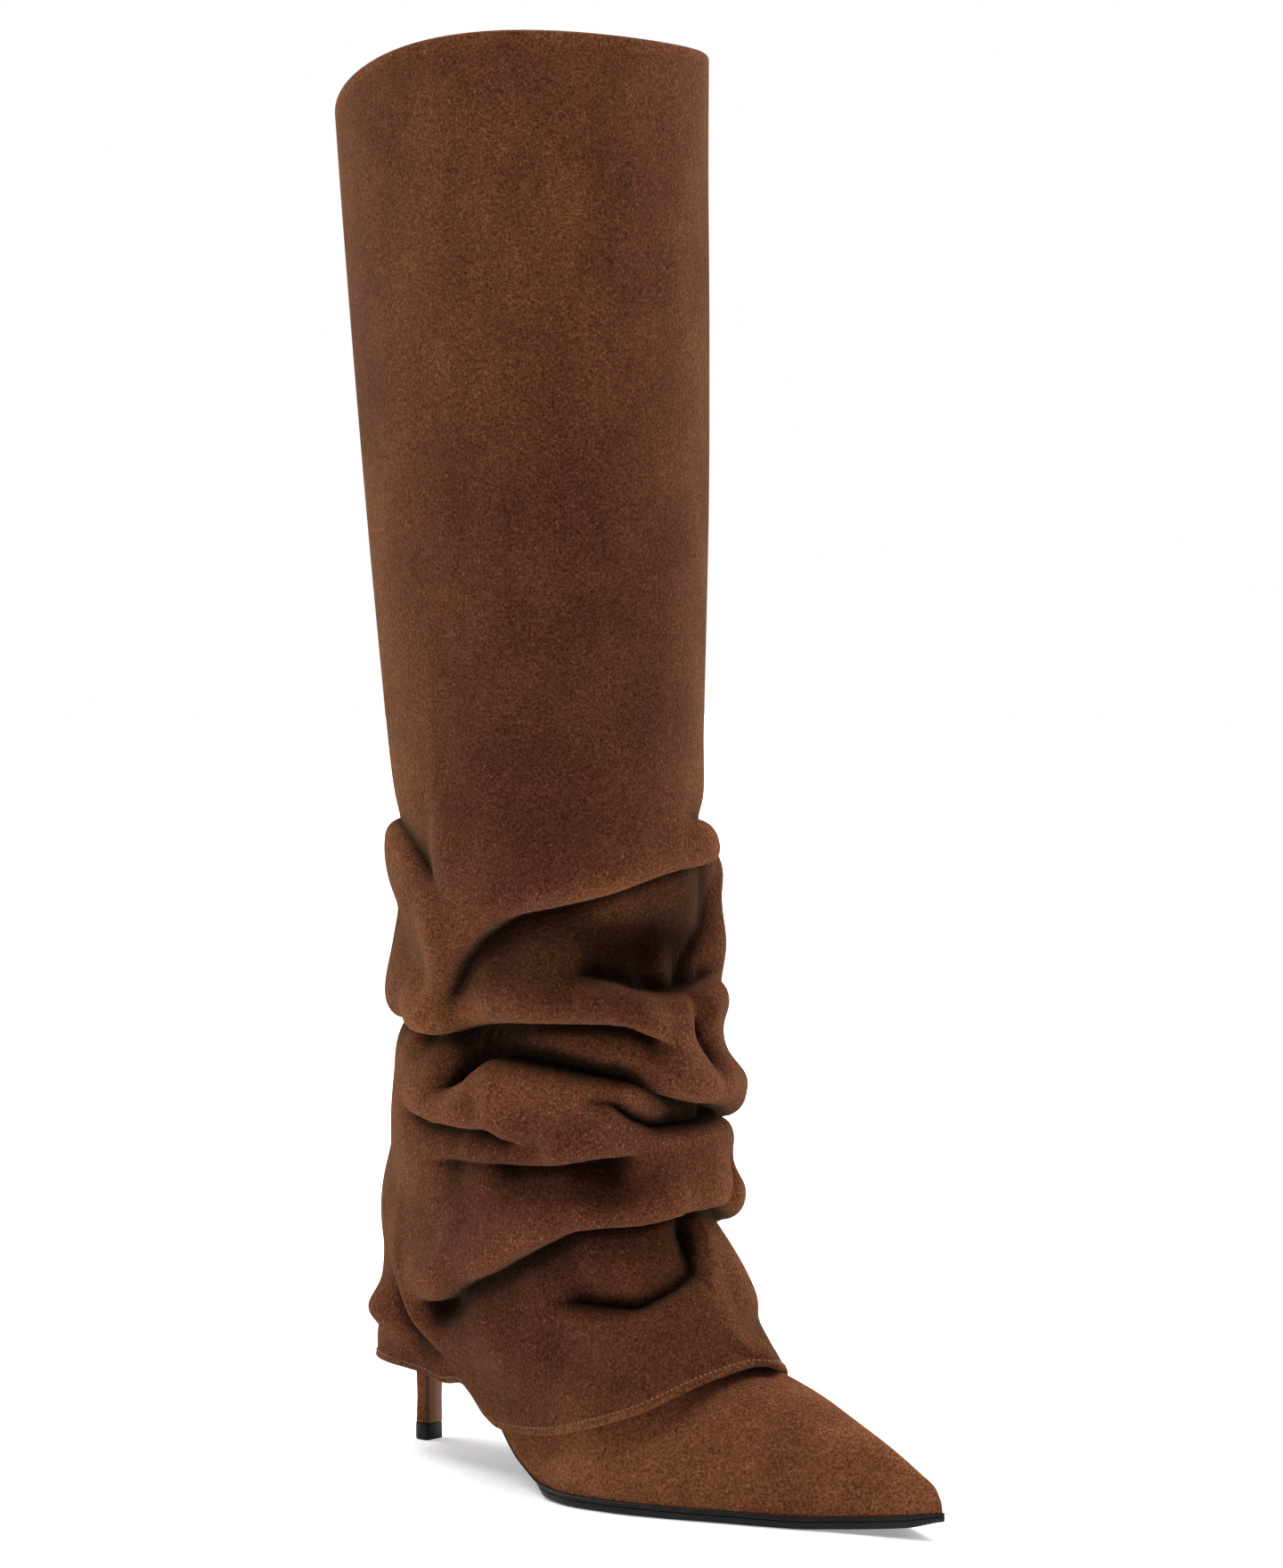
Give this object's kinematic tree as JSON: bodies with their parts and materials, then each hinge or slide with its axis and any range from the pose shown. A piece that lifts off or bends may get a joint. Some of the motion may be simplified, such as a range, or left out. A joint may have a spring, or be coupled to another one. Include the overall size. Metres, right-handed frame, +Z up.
{
  "type": "dress boot",
  "caption": "Tall slouched suede dress boot for the right foot, with a pointed toe, a skirt of folds over the foot and a slim covered heel.",
  "frame": {"origin": "on the ground plane under the middle of the boot's box", "axes": "+X towards the toe, +Y towards the inner side of the foot, +Z up along the leg; ground at Z = 0"},
  "size_m": [0.2496, 0.1146, 0.4703],
  "materials": {
    "suede": "brown suede with a short nap, no gloss",
    "sole_black": "black, edge inked and lightly polished",
    "breast_tan": "smooth tan leather, satin",
    "insole_tan": "smooth pale leather, matt",
    "tip_black": "black, satin"
  },
  "bodies": {
    "root": {"outsole": "sole_black", "insole": "insole_tan", "upper": "suede", "shaft": "suede", "heel": "suede", "heel_breast": "breast_tan", "heel_tip": "tip_black"}
  },
  "joints": []
}
